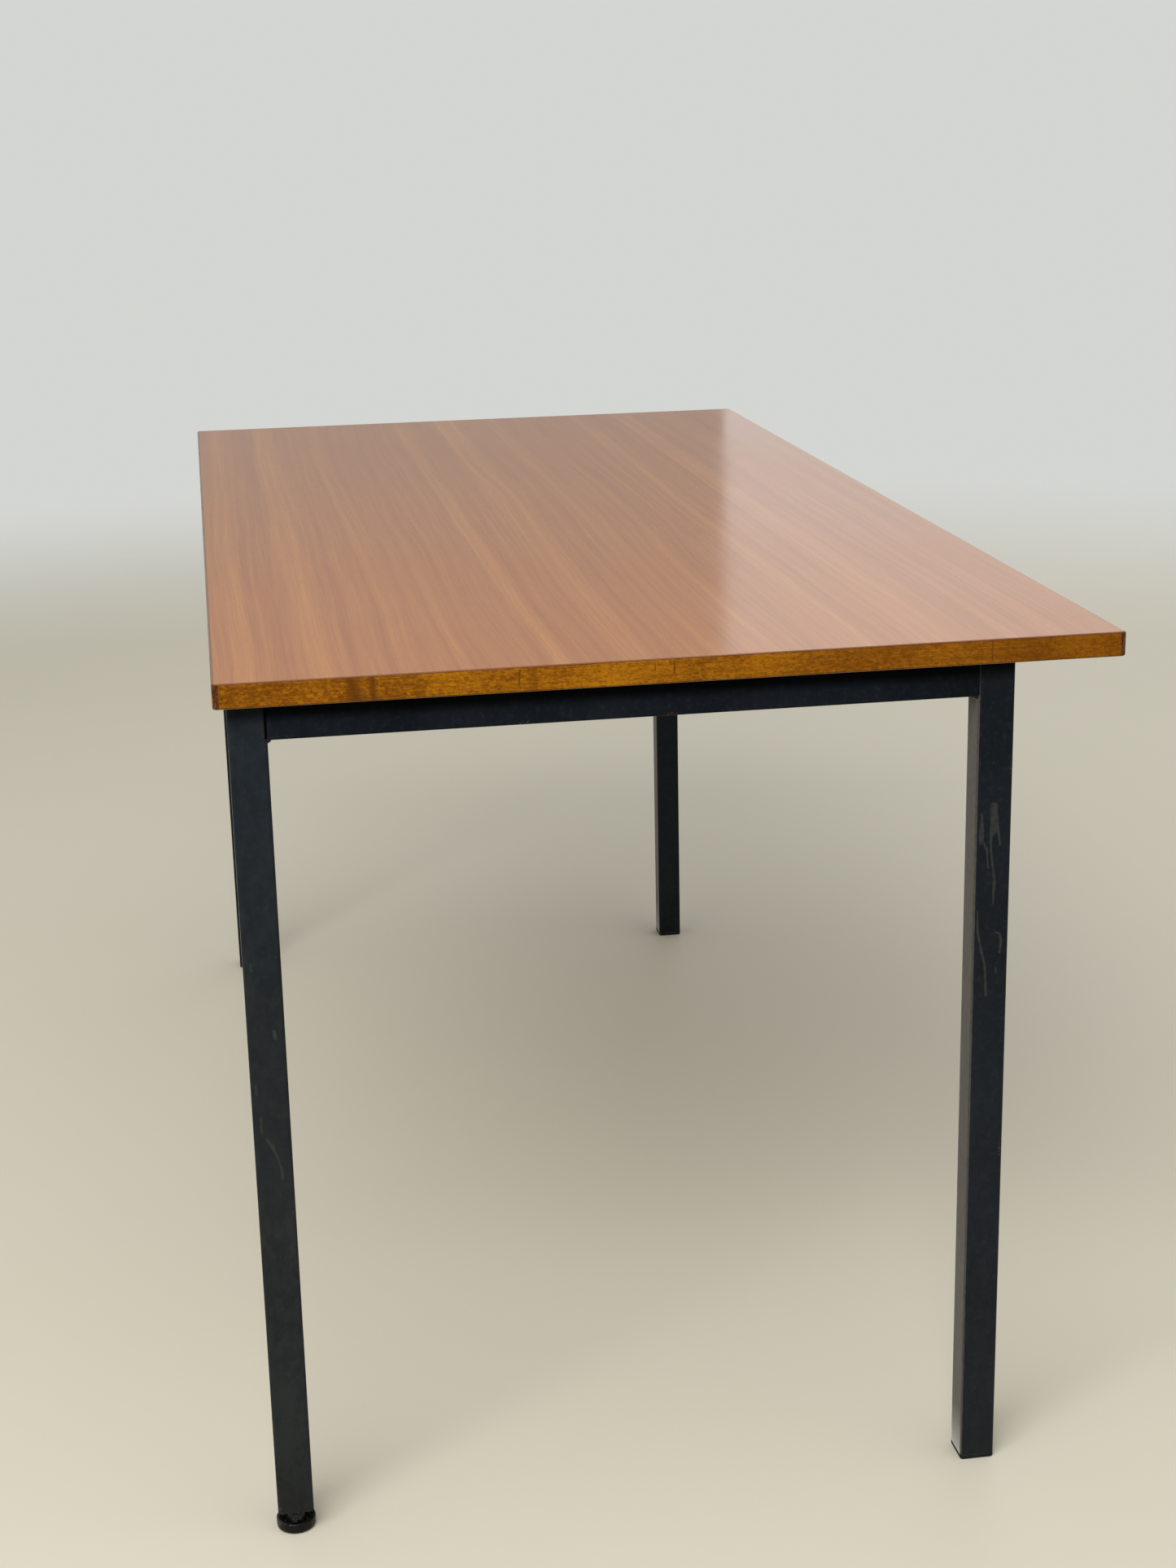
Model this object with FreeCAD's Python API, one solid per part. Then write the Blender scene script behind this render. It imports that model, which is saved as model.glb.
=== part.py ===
"""Teacher's desk: a veneered, lipped board screwed to a welded frame of square steel tube.

Millimetres, +Z up. The origin is on the floor, under the middle of the board. The sitter's side, where the
board overhangs the frame most, is -Y, and left and right are the sitter's own, so left is -X.
"""
import FreeCAD, Part
import math
import os

# Board
board_length = 1450.0
board_width = 720.0
desk_height = 740.0
core_thickness = 19.0
veneer_thickness = 0.5
lipping_thickness = 5.0
board_corner_radius = 4.0
board_edge_radius = 1.5

# Frame
overhang_front = 86.0
overhang_rear = 10.0
overhang_end = 15.0
tube_size = 30.0
tube_wall = 1.5
tube_corner_radius = 3.0
weld_leg = 4.0
lug_weld_leg = 3.0

# Angle lugs, and the screws and washers that hold the board to them
lug_flange = 25.0
lug_thickness = 3.0
lug_root_radius = 3.0
lug_length = 30.0
lug_hole_clearance = 0.5
lug_hole_from_rail = 15.0
lug_end_distance = 120.0
washer_band = 2.5
washer_clearance = 0.25
washer_thickness = 1.0
screw_diameter = 4.5
screw_length = 16.0
screw_point = 3.0
screw_head_overhang = 2.05
screw_head_height = 2.8
screw_recess_width = 1.2
screw_recess_span = 4.6
screw_recess_depth = 1.6
pilot_clearance = 0.05
pilot_spare = 1.0

# Push-in plugs in three of the legs
plug_collar_height = 4.0
plug_collar_edge = 1.5
plug_spigot_height = 20.0
plug_spigot_size = 23.6
plug_wall = 1.8
plug_fin_thickness = 1.2
plug_fin_count = 3
plug_clearance = 0.1

# Screw glide in the fourth leg, which is cut shorter
short_leg_bottom = 20.0
glide_plate_thickness = 3.0
glide_plate_corner = 2.0
glide_plate_clearance = 0.5
stem_diameter = 8.0
stem_length = 35.0
stem_chamfer = 1.0
thread_clearance = 0.05
hexagon_across_flats = 13.0
nut_height = 6.5
collar_height = 5.0
spigot_diameter = 6.0
spigot_length = 4.5
turning_clearance = 0.05
pad_diameter = 33.0
pad_height = 9.4
pad_floor = 4.4
pad_rim_width = 3.0
pad_hub_diameter = 15.0
pad_hub_height = 7.0
pad_base_radius = 3.0
pad_rim_radius = 1.2

# Levels and lines that follow from the sizes above
board_thickness = core_thickness + 2 * veneer_thickness
frame_top = desk_height - board_thickness
rail_bottom = frame_top - tube_size
frame_front = overhang_front - board_width / 2
frame_rear = board_width / 2 - overhang_rear
frame_left = overhang_end - board_length / 2
frame_right = -frame_left
tube_bore = tube_size - 2 * tube_wall
tube_flat = tube_size - 2 * tube_corner_radius
lug_hole_diameter = screw_diameter + 2 * lug_hole_clearance
washer_bore = screw_diameter + 2 * washer_clearance
washer_diameter = washer_bore + 2 * washer_band
screw_head_diameter = screw_diameter + 2 * screw_head_overhang
UP = FreeCAD.Vector(0, 0, 1)
ALONG = FreeCAD.Vector(1, 0, 0)
ACROSS = FreeCAD.Vector(0, 1, 0)


def block(x0, x1, y0, y1, z0, z1):
    """A box between two corners."""
    return Part.makeBox(x1 - x0, y1 - y0, z1 - z0, FreeCAD.Vector(x0, y0, z0))


def rod(diameter, height, x, y, z):
    """An upright cylinder that stands on the point given."""
    return Part.makeCylinder(diameter / 2, height, FreeCAD.Vector(x, y, z), UP)


def rounded_prism(x_size, y_size, radius, height):
    """An upright prism about the Z axis, with its four upright edges rounded, standing on z = 0."""
    prism = block(-x_size / 2, x_size / 2, -y_size / 2, y_size / 2, 0, height)
    upright = [edge for edge in prism.Edges if abs(edge.tangentAt(edge.FirstParameter).z) > 0.5]
    return prism.makeFillet(radius, upright)


def square_tube(length):
    """A length of the frame tube along Z, centred on the Z axis, standing on z = 0."""
    bore_radius = max(tube_corner_radius - tube_wall, 0.2)
    bore = rounded_prism(tube_bore, tube_bore, bore_radius, length)
    return rounded_prism(tube_size, tube_size, tube_corner_radius, length).cut(bore)


def hexagon(across_flats, height):
    """An upright hexagonal prism about the Z axis, with the corners of both ends chamfered."""
    reach = across_flats / math.sqrt(3)
    corners = [FreeCAD.Vector(reach * math.cos(turn * math.pi / 3), reach * math.sin(turn * math.pi / 3), 0)
               for turn in range(7)]
    prism = Part.Face(Part.makePolygon(corners)).extrude(UP * height)
    chamfer = (reach - across_flats / 2) * 0.6
    envelope = Part.makeCylinder(reach, height)
    rims = [edge for edge in envelope.Edges if isinstance(edge.Curve, Part.Circle)]
    return prism.common(envelope.makeChamfer(chamfer, rims))


def fillet_weld(corner, first, second, run, leg):
    """A weld bead: a triangle from the corner along two directions, carried along the run."""
    triangle = Part.makePolygon([corner, corner + first * leg, corner + second * leg, corner])
    return Part.Face(triangle).extrude(run)


def at(shape, x, y, z):
    """The shape moved so that its own origin lies at the point given."""
    return shape.translated(FreeCAD.Vector(x, y, z))


def board_pieces():
    """The core and its four lippings, with a veneer over all of them on both faces, cut from one blank."""
    blank = rounded_prism(board_length, board_width, board_corner_radius, board_thickness)
    level_edges = [edge for edge in blank.Edges if edge.BoundBox.ZLength < 0.01]
    blank = at(blank.makeFillet(board_edge_radius, level_edges), 0, 0, frame_top)
    x_out = board_length / 2
    y_out = board_width / 2
    x_in = x_out - lipping_thickness
    y_in = y_out - lipping_thickness
    core_bottom = frame_top + veneer_thickness
    core_top = core_bottom + core_thickness
    return {
        "top_core": block(-x_in, x_in, -y_in, y_in, core_bottom, core_top),
        "top_face_veneer": blank.common(block(-x_out, x_out, -y_out, y_out, core_top, desk_height)),
        "top_backing_veneer": blank.common(block(-x_out, x_out, -y_out, y_out, frame_top, core_bottom)),
        "lipping_front": blank.common(block(-x_out, x_out, -y_out, -y_in, core_bottom, core_top)),
        "lipping_rear": blank.common(block(-x_out, x_out, y_in, y_out, core_bottom, core_top)),
        "lipping_left": blank.common(block(-x_out, -x_in, -y_in, y_in, core_bottom, core_top)),
        "lipping_right": blank.common(block(x_in, x_out, -y_in, y_in, core_bottom, core_top)),
    }


def leg_centres():
    """Each corner's name, with the centre line of its leg and the way into the frame along X and Y."""
    half = tube_size / 2
    return {
        "front_left": (frame_left + half, frame_front + half, 1, 1),
        "front_right": (frame_right - half, frame_front + half, -1, 1),
        "rear_left": (frame_left + half, frame_rear - half, 1, -1),
        "rear_right": (frame_right - half, frame_rear - half, -1, -1),
    }


def leg_bottom(corner):
    """How high the leg's cut end is above the floor: the rear left leg is the short one."""
    if corner == "rear_left":
        return short_leg_bottom
    return plug_collar_height


def leg(corner):
    """One leg, from its cut end to the underside of the board."""
    x, y, _, _ = leg_centres()[corner]
    bottom = leg_bottom(corner)
    return at(square_tube(frame_top - bottom), x, y, bottom)


def rail(side):
    """One rail, butted between the flat faces of two legs, with its top level with the legs' tops."""
    middle_height = frame_top - tube_size / 2
    half = tube_size / 2
    if side in ("front", "rear"):
        length = frame_right - frame_left - 2 * tube_size
        lying = square_tube(length).rotated(FreeCAD.Vector(), ACROSS, 90)
        y = frame_front + half if side == "front" else frame_rear - half
        return at(lying, frame_left + tube_size, y, middle_height)
    length = frame_rear - frame_front - 2 * tube_size
    lying = square_tube(length).rotated(FreeCAD.Vector(), ALONG, -90)
    x = frame_left + half if side == "left" else frame_right - half
    return at(lying, x, frame_front + tube_size, middle_height)


def lug_places():
    """Each lug's name, its middle on the rail's inner face, and the way into the frame."""
    reach = frame_right - tube_size - lug_end_distance
    middle_y = (frame_front + frame_rear) / 2
    places = {}
    for number, x in enumerate((-reach, 0, reach), start=1):
        places[f"front_{number}"] = (x, frame_front + tube_size, 90)
        places[f"rear_{number}"] = (x, frame_rear - tube_size, -90)
    places["left"] = (frame_left + tube_size, middle_y, 0)
    places["right"] = (frame_right - tube_size, middle_y, 180)
    return places


def placed_on_rail(shape, place):
    """Carries a shape made at the origin, with +X as the way into the frame, to a lug's place."""
    x, y, turn = place
    return at(shape.rotated(FreeCAD.Vector(), UP, turn), x, y, frame_top)


def angle_lug():
    """A short length of angle: one flange on the rail's inner face, the other level with the rail's top."""
    half = lug_length / 2
    flange = block(0, lug_flange, -half, half, -lug_thickness, 0)
    web = block(0, lug_thickness, -half, half, -lug_flange, 0)
    root = block(lug_thickness, lug_thickness + lug_root_radius, -half, half,
                 -lug_thickness - lug_root_radius, -lug_thickness)
    hollow_centre = FreeCAD.Vector(lug_thickness + lug_root_radius, -half, -lug_thickness - lug_root_radius)
    hollow = Part.makeCylinder(lug_root_radius, lug_length, hollow_centre, ACROSS)
    angle = flange.fuse([web, root.cut(hollow)]).removeSplitter()
    return angle.cut(rod(lug_hole_diameter, lug_thickness, lug_hole_from_rail, 0, -lug_thickness))


def washer():
    """A plain washer under the lug's flange."""
    underside = -lug_thickness - washer_thickness
    disc = rod(washer_diameter, washer_thickness, lug_hole_from_rail, 0, underside)
    return disc.cut(rod(washer_bore, washer_thickness, lug_hole_from_rail, 0, underside))


def pan_head_screw():
    """A chipboard screw that points up through the washer and the lug into the board."""
    seat = -lug_thickness - washer_thickness
    head = rod(screw_head_diameter, screw_head_height, lug_hole_from_rail, 0, seat - screw_head_height)
    lower_rim = [edge for edge in head.Edges
                 if isinstance(edge.Curve, Part.Circle) and edge.BoundBox.ZMax < seat - screw_head_height / 2]
    head = head.makeFillet(screw_head_height * 0.6, lower_rim)
    for turn in (0, 90):
        slot = block(-screw_recess_span / 2, screw_recess_span / 2, -screw_recess_width / 2,
                     screw_recess_width / 2, 0, screw_recess_depth)
        slot = slot.rotated(FreeCAD.Vector(), UP, turn)
        head = head.cut(at(slot, lug_hole_from_rail, 0, seat - screw_head_height))
    shank = rod(screw_diameter, screw_length - screw_point, lug_hole_from_rail, 0, seat)
    point_base = FreeCAD.Vector(lug_hole_from_rail, 0, seat + screw_length - screw_point)
    point = Part.makeCone(screw_diameter / 2, 0, screw_point, point_base, UP)
    return head.fuse([shank, point])


def pilot_hole():
    """The clearance hole for one screw, from under the board up past the screw's point."""
    depth = screw_length - lug_thickness - washer_thickness + pilot_spare
    return rod(screw_diameter + 2 * pilot_clearance, depth, lug_hole_from_rail, 0, 0)


def weld_beads():
    """The beads: inside and under each leg-to-rail joint, and at both ends of each lug's web."""
    beads = []
    for x, y, inward_x, inward_y in leg_centres().values():
        into_x = ALONG * inward_x
        into_y = ACROSS * inward_y
        half = tube_size / 2
        inside = FreeCAD.Vector(x + inward_x * half, y + inward_y * half, rail_bottom + tube_corner_radius)
        beads.append(fillet_weld(inside, into_x, into_y, UP * tube_flat, weld_leg))
        under_long = FreeCAD.Vector(x + inward_x * half, y - tube_flat / 2, rail_bottom)
        beads.append(fillet_weld(under_long, into_x, -UP, ACROSS * tube_flat, weld_leg))
        under_short = FreeCAD.Vector(x - tube_flat / 2, y + inward_y * half, rail_bottom)
        beads.append(fillet_weld(under_short, into_y, -UP, ALONG * tube_flat, weld_leg))
    web_low = -lug_flange + lug_weld_leg
    web_run = UP * (lug_flange - lug_weld_leg - tube_corner_radius - lug_thickness)
    for place in lug_places().values():
        for end in (-1, 1):
            corner = FreeCAD.Vector(0, end * lug_length / 2, web_low)
            bead = fillet_weld(corner, ALONG, ACROSS * end, web_run, lug_weld_leg)
            beads.append(placed_on_rail(bead, place))
    return Part.makeCompound(beads)


def foot_plug(corner):
    """A push-in plug: a collar under the leg's cut end and a hollow spigot with grip fins inside the leg."""
    x, y, _, _ = leg_centres()[corner]
    collar = rounded_prism(tube_size, tube_size, tube_corner_radius, plug_collar_height)
    sole = [edge for edge in collar.Edges if edge.BoundBox.ZMax < 0.01]
    collar = collar.makeFillet(plug_collar_edge, sole)
    spigot_radius = 2.0
    spigot = rounded_prism(plug_spigot_size, plug_spigot_size, spigot_radius, plug_spigot_height)
    fin_size = tube_bore - 2 * plug_clearance
    fin_pitch = plug_spigot_height / (plug_fin_count + 1)
    fins = [at(rounded_prism(fin_size, fin_size, spigot_radius, plug_fin_thickness), 0, 0,
               fin_pitch * number + fin_pitch / 2) for number in range(plug_fin_count)]
    hollow_size = plug_spigot_size - 2 * plug_wall
    hollow = rounded_prism(hollow_size, hollow_size, 1.0, plug_spigot_height)
    spigot = spigot.fuse(fins).cut(hollow)
    plug = collar.fuse(at(spigot, 0, 0, plug_collar_height))
    return at(plug, x, y, 0)


def glide_pieces():
    """The screw glide in the short leg, from the plate in the leg's end down to the pad on the floor."""
    x, y, _, _ = leg_centres()["rear_left"]
    nut_bore = stem_diameter + 2 * thread_clearance
    plate = rounded_prism(tube_bore, tube_bore, glide_plate_corner, glide_plate_thickness)
    plate_hole = stem_diameter + 2 * glide_plate_clearance
    plate = plate.cut(rod(plate_hole, glide_plate_thickness, 0, 0, 0))
    nut = hexagon(hexagon_across_flats, nut_height).cut(rod(nut_bore, nut_height, 0, 0, 0))

    pad = rod(pad_diameter, pad_height, 0, 0, 0)
    base_rim = [edge for edge in pad.Edges if isinstance(edge.Curve, Part.Circle) and edge.BoundBox.ZMax < 0.01]
    pad = pad.makeFillet(pad_base_radius, base_rim)
    top_rim = [edge for edge in pad.Edges
               if isinstance(edge.Curve, Part.Circle) and edge.BoundBox.ZMin > pad_height - 0.01]
    pad = pad.makeFillet(pad_rim_radius, top_rim)
    recess = rod(pad_diameter - 2 * pad_rim_width, pad_height - pad_floor, 0, 0, pad_floor)
    pad = pad.cut(recess).fuse(rod(pad_hub_diameter, pad_hub_height - pad_floor, 0, 0, pad_floor))
    socket_depth = spigot_length + turning_clearance
    socket = rod(spigot_diameter + 2 * turning_clearance, socket_depth, 0, 0, pad_hub_height - socket_depth)
    pad = pad.cut(socket)

    collar_bottom = pad_hub_height + turning_clearance
    collar = at(hexagon(hexagon_across_flats, collar_height), 0, 0, collar_bottom)
    shank = rod(stem_diameter, stem_length, 0, 0, 0)
    tip = [edge for edge in shank.Edges
           if isinstance(edge.Curve, Part.Circle) and edge.BoundBox.ZMin > stem_length - 0.01]
    shank = at(shank.makeChamfer(stem_chamfer, tip), 0, 0, collar_bottom + collar_height)
    spigot = rod(spigot_diameter, spigot_length, 0, 0, collar_bottom - spigot_length)
    stem = collar.fuse([shank, spigot])

    return {
        "glide_plate": at(plate, x, y, short_leg_bottom),
        "glide_nut": at(nut, x, y, short_leg_bottom + glide_plate_thickness),
        "glide_stem": at(stem, x, y, 0),
        "glide_pad": at(pad, x, y, 0),
    }


nodes = board_pieces()
holes = [placed_on_rail(pilot_hole(), place) for place in lug_places().values()]
for drilled in ("top_backing_veneer", "top_core"):
    nodes[drilled] = nodes[drilled].cut(holes)

for corner in leg_centres():
    nodes[f"leg_{corner}"] = leg(corner)
    if corner != "rear_left":
        nodes[f"foot_plug_{corner}"] = foot_plug(corner)

for side in ("front", "rear", "left", "right"):
    nodes[f"rail_{side}"] = rail(side)

for name, place in lug_places().items():
    nodes[f"lug_{name}"] = placed_on_rail(angle_lug(), place)

lug_screws = [placed_on_rail(pan_head_screw(), place) for place in lug_places().values()]
lug_washers = [placed_on_rail(washer(), place) for place in lug_places().values()]
nodes["lug_screws"] = Part.makeCompound(lug_screws)
nodes["lug_washers"] = Part.makeCompound(lug_washers)
nodes["weld_beads"] = weld_beads()
nodes.update(glide_pieces())

os.makedirs("parts", exist_ok=True)
for name, shape in nodes.items():
    shape.exportStep(f"parts/{name}.step")
    print(f"{name}: {len(shape.Solids)} solid(s), valid {shape.isValid()}, {shape.Volume:.0f} mm3")
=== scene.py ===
import math

import bpy
import numpy as np
from mathutils import Matrix, Vector


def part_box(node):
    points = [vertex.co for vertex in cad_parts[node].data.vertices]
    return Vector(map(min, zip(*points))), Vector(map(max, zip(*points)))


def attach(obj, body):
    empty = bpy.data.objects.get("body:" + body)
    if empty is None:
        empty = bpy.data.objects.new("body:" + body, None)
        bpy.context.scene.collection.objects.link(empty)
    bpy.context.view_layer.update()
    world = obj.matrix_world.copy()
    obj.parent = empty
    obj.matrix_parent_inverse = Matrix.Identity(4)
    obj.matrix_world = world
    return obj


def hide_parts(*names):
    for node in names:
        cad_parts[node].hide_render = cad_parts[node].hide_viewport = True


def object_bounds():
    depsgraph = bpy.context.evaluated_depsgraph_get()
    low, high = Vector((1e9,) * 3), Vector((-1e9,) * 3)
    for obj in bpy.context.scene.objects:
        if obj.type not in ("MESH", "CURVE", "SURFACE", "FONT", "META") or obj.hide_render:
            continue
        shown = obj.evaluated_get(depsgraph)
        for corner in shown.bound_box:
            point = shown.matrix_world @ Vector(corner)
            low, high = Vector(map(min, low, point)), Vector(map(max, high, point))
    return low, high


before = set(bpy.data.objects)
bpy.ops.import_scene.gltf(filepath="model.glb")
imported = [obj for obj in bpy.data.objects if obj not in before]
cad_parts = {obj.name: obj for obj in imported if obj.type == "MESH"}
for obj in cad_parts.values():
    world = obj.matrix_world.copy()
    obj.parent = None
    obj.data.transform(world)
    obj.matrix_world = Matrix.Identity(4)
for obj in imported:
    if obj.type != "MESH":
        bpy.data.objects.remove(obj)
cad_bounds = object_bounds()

# --------------------
# The view: from a short end, standing a little above the board and level with its rear edge, turned towards
# the sitter's side and tipped down.
board_low = Vector(cad_bounds[0])
board_high = Vector(cad_bounds[1])
lens = 55.05
eye = Vector((board_low.x - 1.7686, board_high.y - 0.0059, 1.1611))
turn, tip, roll = (math.radians(angle) for angle in (8.94, 16.12, -1.27))
ahead = Vector((math.cos(turn) * math.cos(tip), -math.sin(turn) * math.cos(tip), -math.sin(tip)))
level_right = Vector((-math.sin(turn), -math.cos(turn), 0))
level_up = level_right.cross(ahead)
right = level_right * math.cos(roll) + level_up * math.sin(roll)
up = level_up * math.cos(roll) - level_right * math.sin(roll)

camera = bpy.data.objects.new("camera", bpy.data.cameras.new("camera"))
camera.data.lens = lens
camera.data.clip_end = 60
camera.matrix_world = Matrix.Translation(eye) @ Matrix((right, up, -ahead)).transposed().to_4x4()
bpy.context.collection.objects.link(camera)
bpy.context.scene.camera = camera


# --------------------
# The studio: a plain pale floor, an even grey surround and three soft boxes. The first hangs in front of
# the near end, the second overhead, and the third stands beyond the far right and gleams in the lacquer.
def open_tree(tree):
    """From here on, nodes are added to this tree."""
    global tree_now
    tree_now = tree
    return tree


def feed(node, links):
    """Joins sockets to a node's inputs, or gives them values, by name or number. A colour is given by three
    numbers."""
    for name, value in links.items():
        socket = node.inputs[name]
        if isinstance(value, bpy.types.NodeSocket):
            tree_now.links.new(value, socket)
        else:
            socket.default_value = (*value, 1) if socket.type == "RGBA" else value


def join(node, **links):
    """Feeds a node's inputs by keyword, with _ for a space."""
    feed(node, {name.replace("_", " "): value for name, value in links.items()})


def add(kind, links=None, **settings):
    """Adds a node to the open tree: settings are its own properties, and links feeds its inputs."""
    made = tree_now.nodes.new("ShaderNode" + kind)
    for name, value in settings.items():
        setattr(made, name, value)
    feed(made, links or {})
    return made


def calc(operation, *values, clamp=False):
    """One step of arithmetic on values or sockets."""
    return add("Math", dict(enumerate(values)), operation=operation, use_clamp=clamp).outputs[0]


def times(first, second, clamp=False):
    """The product of two values or sockets, held from 0 to 1 if clamped."""
    return calc("MULTIPLY", first, second, clamp=clamp)


def plus(first, second, clamp=False):
    """The sum of two values or sockets, held from 0 to 1 if clamped."""
    return calc("ADD", first, second, clamp=clamp)


def fade(value, low, high, out_low=0.0, out_high=1.0):
    """Carries a value from low..high to out_low..out_high, and holds it there beyond."""
    links = {"Value": value, "From Min": low, "From Max": high, "To Min": out_low, "To Max": out_high}
    return add("MapRange", links, interpolation_type="SMOOTHSTEP").outputs[0]


def tint(factor, first, second, blend="MIX"):
    """Goes from the first colour to the second by the factor."""
    return add("Mix", {0: factor, 6: first, 7: second}, data_type="RGBA", blend_type=blend).outputs[2]


def noise(vector, scale, detail=2.0, rough=0.5, distortion=0.0):
    """Smooth noise, from 0 to 1 with most of it near the middle."""
    links = {"Vector": vector, "Scale": scale, "Detail": detail, "Roughness": rough,
             "Distortion": distortion}
    return add("TexNoise", links).outputs[0]


def stretched(vector, scale):
    """A place scaled by its own factor along each axis, for a pattern that is longer one way."""
    return add("Mapping", {"Vector": vector, "Scale": scale}).outputs[0]


def parts(place):
    """The x, y and z of a place."""
    return add("SeparateXYZ", {0: place}).outputs


def whole(x, y, z):
    """A place from its x, y and z."""
    return add("CombineXYZ", {0: x, 1: y, 2: z}).outputs[0]


def new_material(name):
    """Opens a new material, and returns it, its Principled shader, and where on the object each point of
    the surface is, in metres."""
    made = bpy.data.materials.new(name)
    made.use_nodes = True
    open_tree(made.node_tree)
    return made, made.node_tree.nodes["Principled BSDF"], add("TexCoord").outputs["Object"]


def relief(height, distance, strength):
    """A bump normal from a height of 0 to 1, which stands for the distance in metres."""
    return add("Bump", {"Height": height, "Distance": distance, "Strength": strength}).outputs[0]


def mesh_piece(name, points, faces, material, smooth_angle=35.0):
    """A mesh object from arrays of points and faces, smooth except across edges over the angle."""
    mesh = bpy.data.meshes.new(name)
    mesh.from_pydata(np.asarray(points, float).reshape(-1, 3), [], faces)
    mesh.shade_smooth()
    mesh.set_sharp_from_angle(angle=math.radians(smooth_angle))
    mesh.materials.append(material)
    made = bpy.data.objects.new(name, mesh)
    bpy.context.collection.objects.link(made)
    return made


floor_paint, shader, place = new_material("pale_floor")
cloud = noise(place, 0.8, 3.0)
join(shader, Base_Color=tint(cloud, (0.675, 0.63, 0.505), (0.735, 0.69, 0.570)), Roughness=0.55)
# The floor fades into the surround before its edge, so there is no horizon behind the piece.
fade_start, fade_end, floor_reach = 2.6, 5.0, 5.2
from_middle = add("VectorMath", {0: place}, operation="LENGTH").outputs["Value"]
join(shader, Alpha=fade(from_middle, fade_start, fade_end, 1.0, 0.0))
floor_corners = [(x * floor_reach, y * floor_reach, 0) for x, y in ((-1, -1), (1, -1), (1, 1), (-1, 1))]
floor = mesh_piece("floor", floor_corners, [(0, 1, 2, 3)], floor_paint)

surround = bpy.data.worlds.new("surround")
surround.use_nodes = True
open_tree(surround.node_tree)
x, y, z = parts(add("TexCoord").outputs["Generated"])
sky = tint(fade(x, -0.3, 0.5), (0.72, 0.72, 0.70), (0.37, 0.375, 0.37))
horizon = tint(fade(x, -0.9, 0.1), (0.26, 0.26, 0.25), (0.66, 0.67, 0.645))
sky = tint(fade(z, 0.05, 0.12), horizon, sky)
join(surround.node_tree.nodes["Background"], Color=sky)
bpy.context.scene.world = surround
bpy.context.scene.view_settings.view_transform = "Standard"


def soft_box(name, place, target, width, height, radiance):
    """A rectangular area light at a place, turned to face a target, of an even radiance."""
    light = bpy.data.lights.new(name, "AREA")
    light.shape = "RECTANGLE"
    light.size = width
    light.size_y = height
    light.energy = radiance * math.pi * width * height
    made = bpy.data.objects.new(name, light)
    made.location = place
    made.rotation_euler = (Vector(target) - Vector(place)).to_track_quat("-Z", "Y").to_euler()
    bpy.context.collection.objects.link(made)
    made.visible_camera = False


soft_box("front_box", (-3.0, 1.5, 3.3), (-0.4, 0, 0.5), 2.6, 1.8, 7.5)
soft_box("overhead_box", (-0.9, 0.2, 3.6), (-0.5, 0, 0), 3.0, 2.4, 0.5)
soft_box("far_box", (3.9, -2.73, 1.9), (0.2, -0.83, 1.9), 3.4, 3.2, 0.46)


# --------------------
# Face veneer: teak, laid as slip-matched leaves that run the length of the board, over the lippings' eased
# edges too, under a worn semi-gloss lacquer.
def loop_faces(count, around, offset=0, closed=False):
    """The faces between loops of points numbered from the offset. The end loops are capped, or, if closed,
    the last loop joins the first."""
    number = np.arange(count * around).reshape(count, around) + offset
    start, along = (number, np.roll(number, -1, axis=0)) if closed else (number[:-1], number[1:])
    quads = np.stack([start, np.roll(start, -1, 1), np.roll(along, -1, 1), along], axis=-1).reshape(-1, 4)
    caps = [] if closed else [number[0][::-1].tolist(), number[-1].tolist()]
    return quads.tolist() + caps


def loops(name, levels, material, closed=False, smooth_angle=35.0):
    """A surface through closed loops of points, one loop per level: its two parameters are the way round a
    loop and the level."""
    grid = np.asarray(levels, float)
    return mesh_piece(name, grid, loop_faces(*grid.shape[:2], closed=closed), material, smooth_angle)


def at_heights(plan, heights):
    """Loops of (x, y) places made (x, y, z), each loop at its own height."""
    return np.concatenate([plan, np.broadcast_to(heights[:, None, None], plan.shape[:2] + (1,))], axis=2)


def paint_values(piece, name, values):
    """Stores one number per point of a piece, for its material to read."""
    values = np.ascontiguousarray(np.broadcast_to(values, len(piece.data.vertices)), dtype=np.float32)
    piece.data.attributes.new(name, "FLOAT", "POINT").data.foreach_set("value", values)


def stored(name):
    """Reads the numbers that paint_values stored on the piece."""
    return add("Attribute", attribute_name=name).outputs["Fac"]


def waver(places, seed, shortest, longest, count=14):
    """A smooth random line from -1 to 1: a sum of sines with seeded lengths and starts."""
    dice = np.random.default_rng(seed)
    lengths = np.exp(dice.uniform(math.log(shortest), math.log(longest), count))
    starts = dice.uniform(0, 2 * math.pi, count)
    waves = np.sin(np.asarray(places, float)[..., None] * 2 * math.pi / lengths + starts)
    return waves.mean(-1) * math.sqrt(2)


def rounded_loop(x_half, y_half, radius, arc_steps, spacing):
    """Points and outward normals round a rectangle with round corners, anticlockwise: each corner is a
    quarter circle, and each side is divided at about the spacing."""
    points, normals = [], []
    for quarter, (x_sign, y_sign) in enumerate(((1, 1), (-1, 1), (-1, -1), (1, -1))):
        angles = (quarter + np.linspace(0, 1, arc_steps + 1)) * math.pi / 2
        bend = np.stack([np.cos(angles), np.sin(angles)], axis=1)
        centre = np.array([x_sign * (x_half - radius), y_sign * (y_half - radius)])
        points.append(centre + bend * radius)
        normals.append(bend)
        span = 2 * ((x_half if quarter % 2 == 0 else y_half) - radius)
        steps = max(int(span / spacing), 1)
        share = np.linspace(0, 1, steps + 1)[1:-1, None]
        side = np.array([[-1, 0], [0, -1], [1, 0], [0, 1]])[quarter]
        points.append(points[-1][-1] + side * share * span)
        normals.append(np.broadcast_to(bend[-1], (len(share), 2)))
    return np.concatenate(points), np.concatenate(normals)


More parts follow.
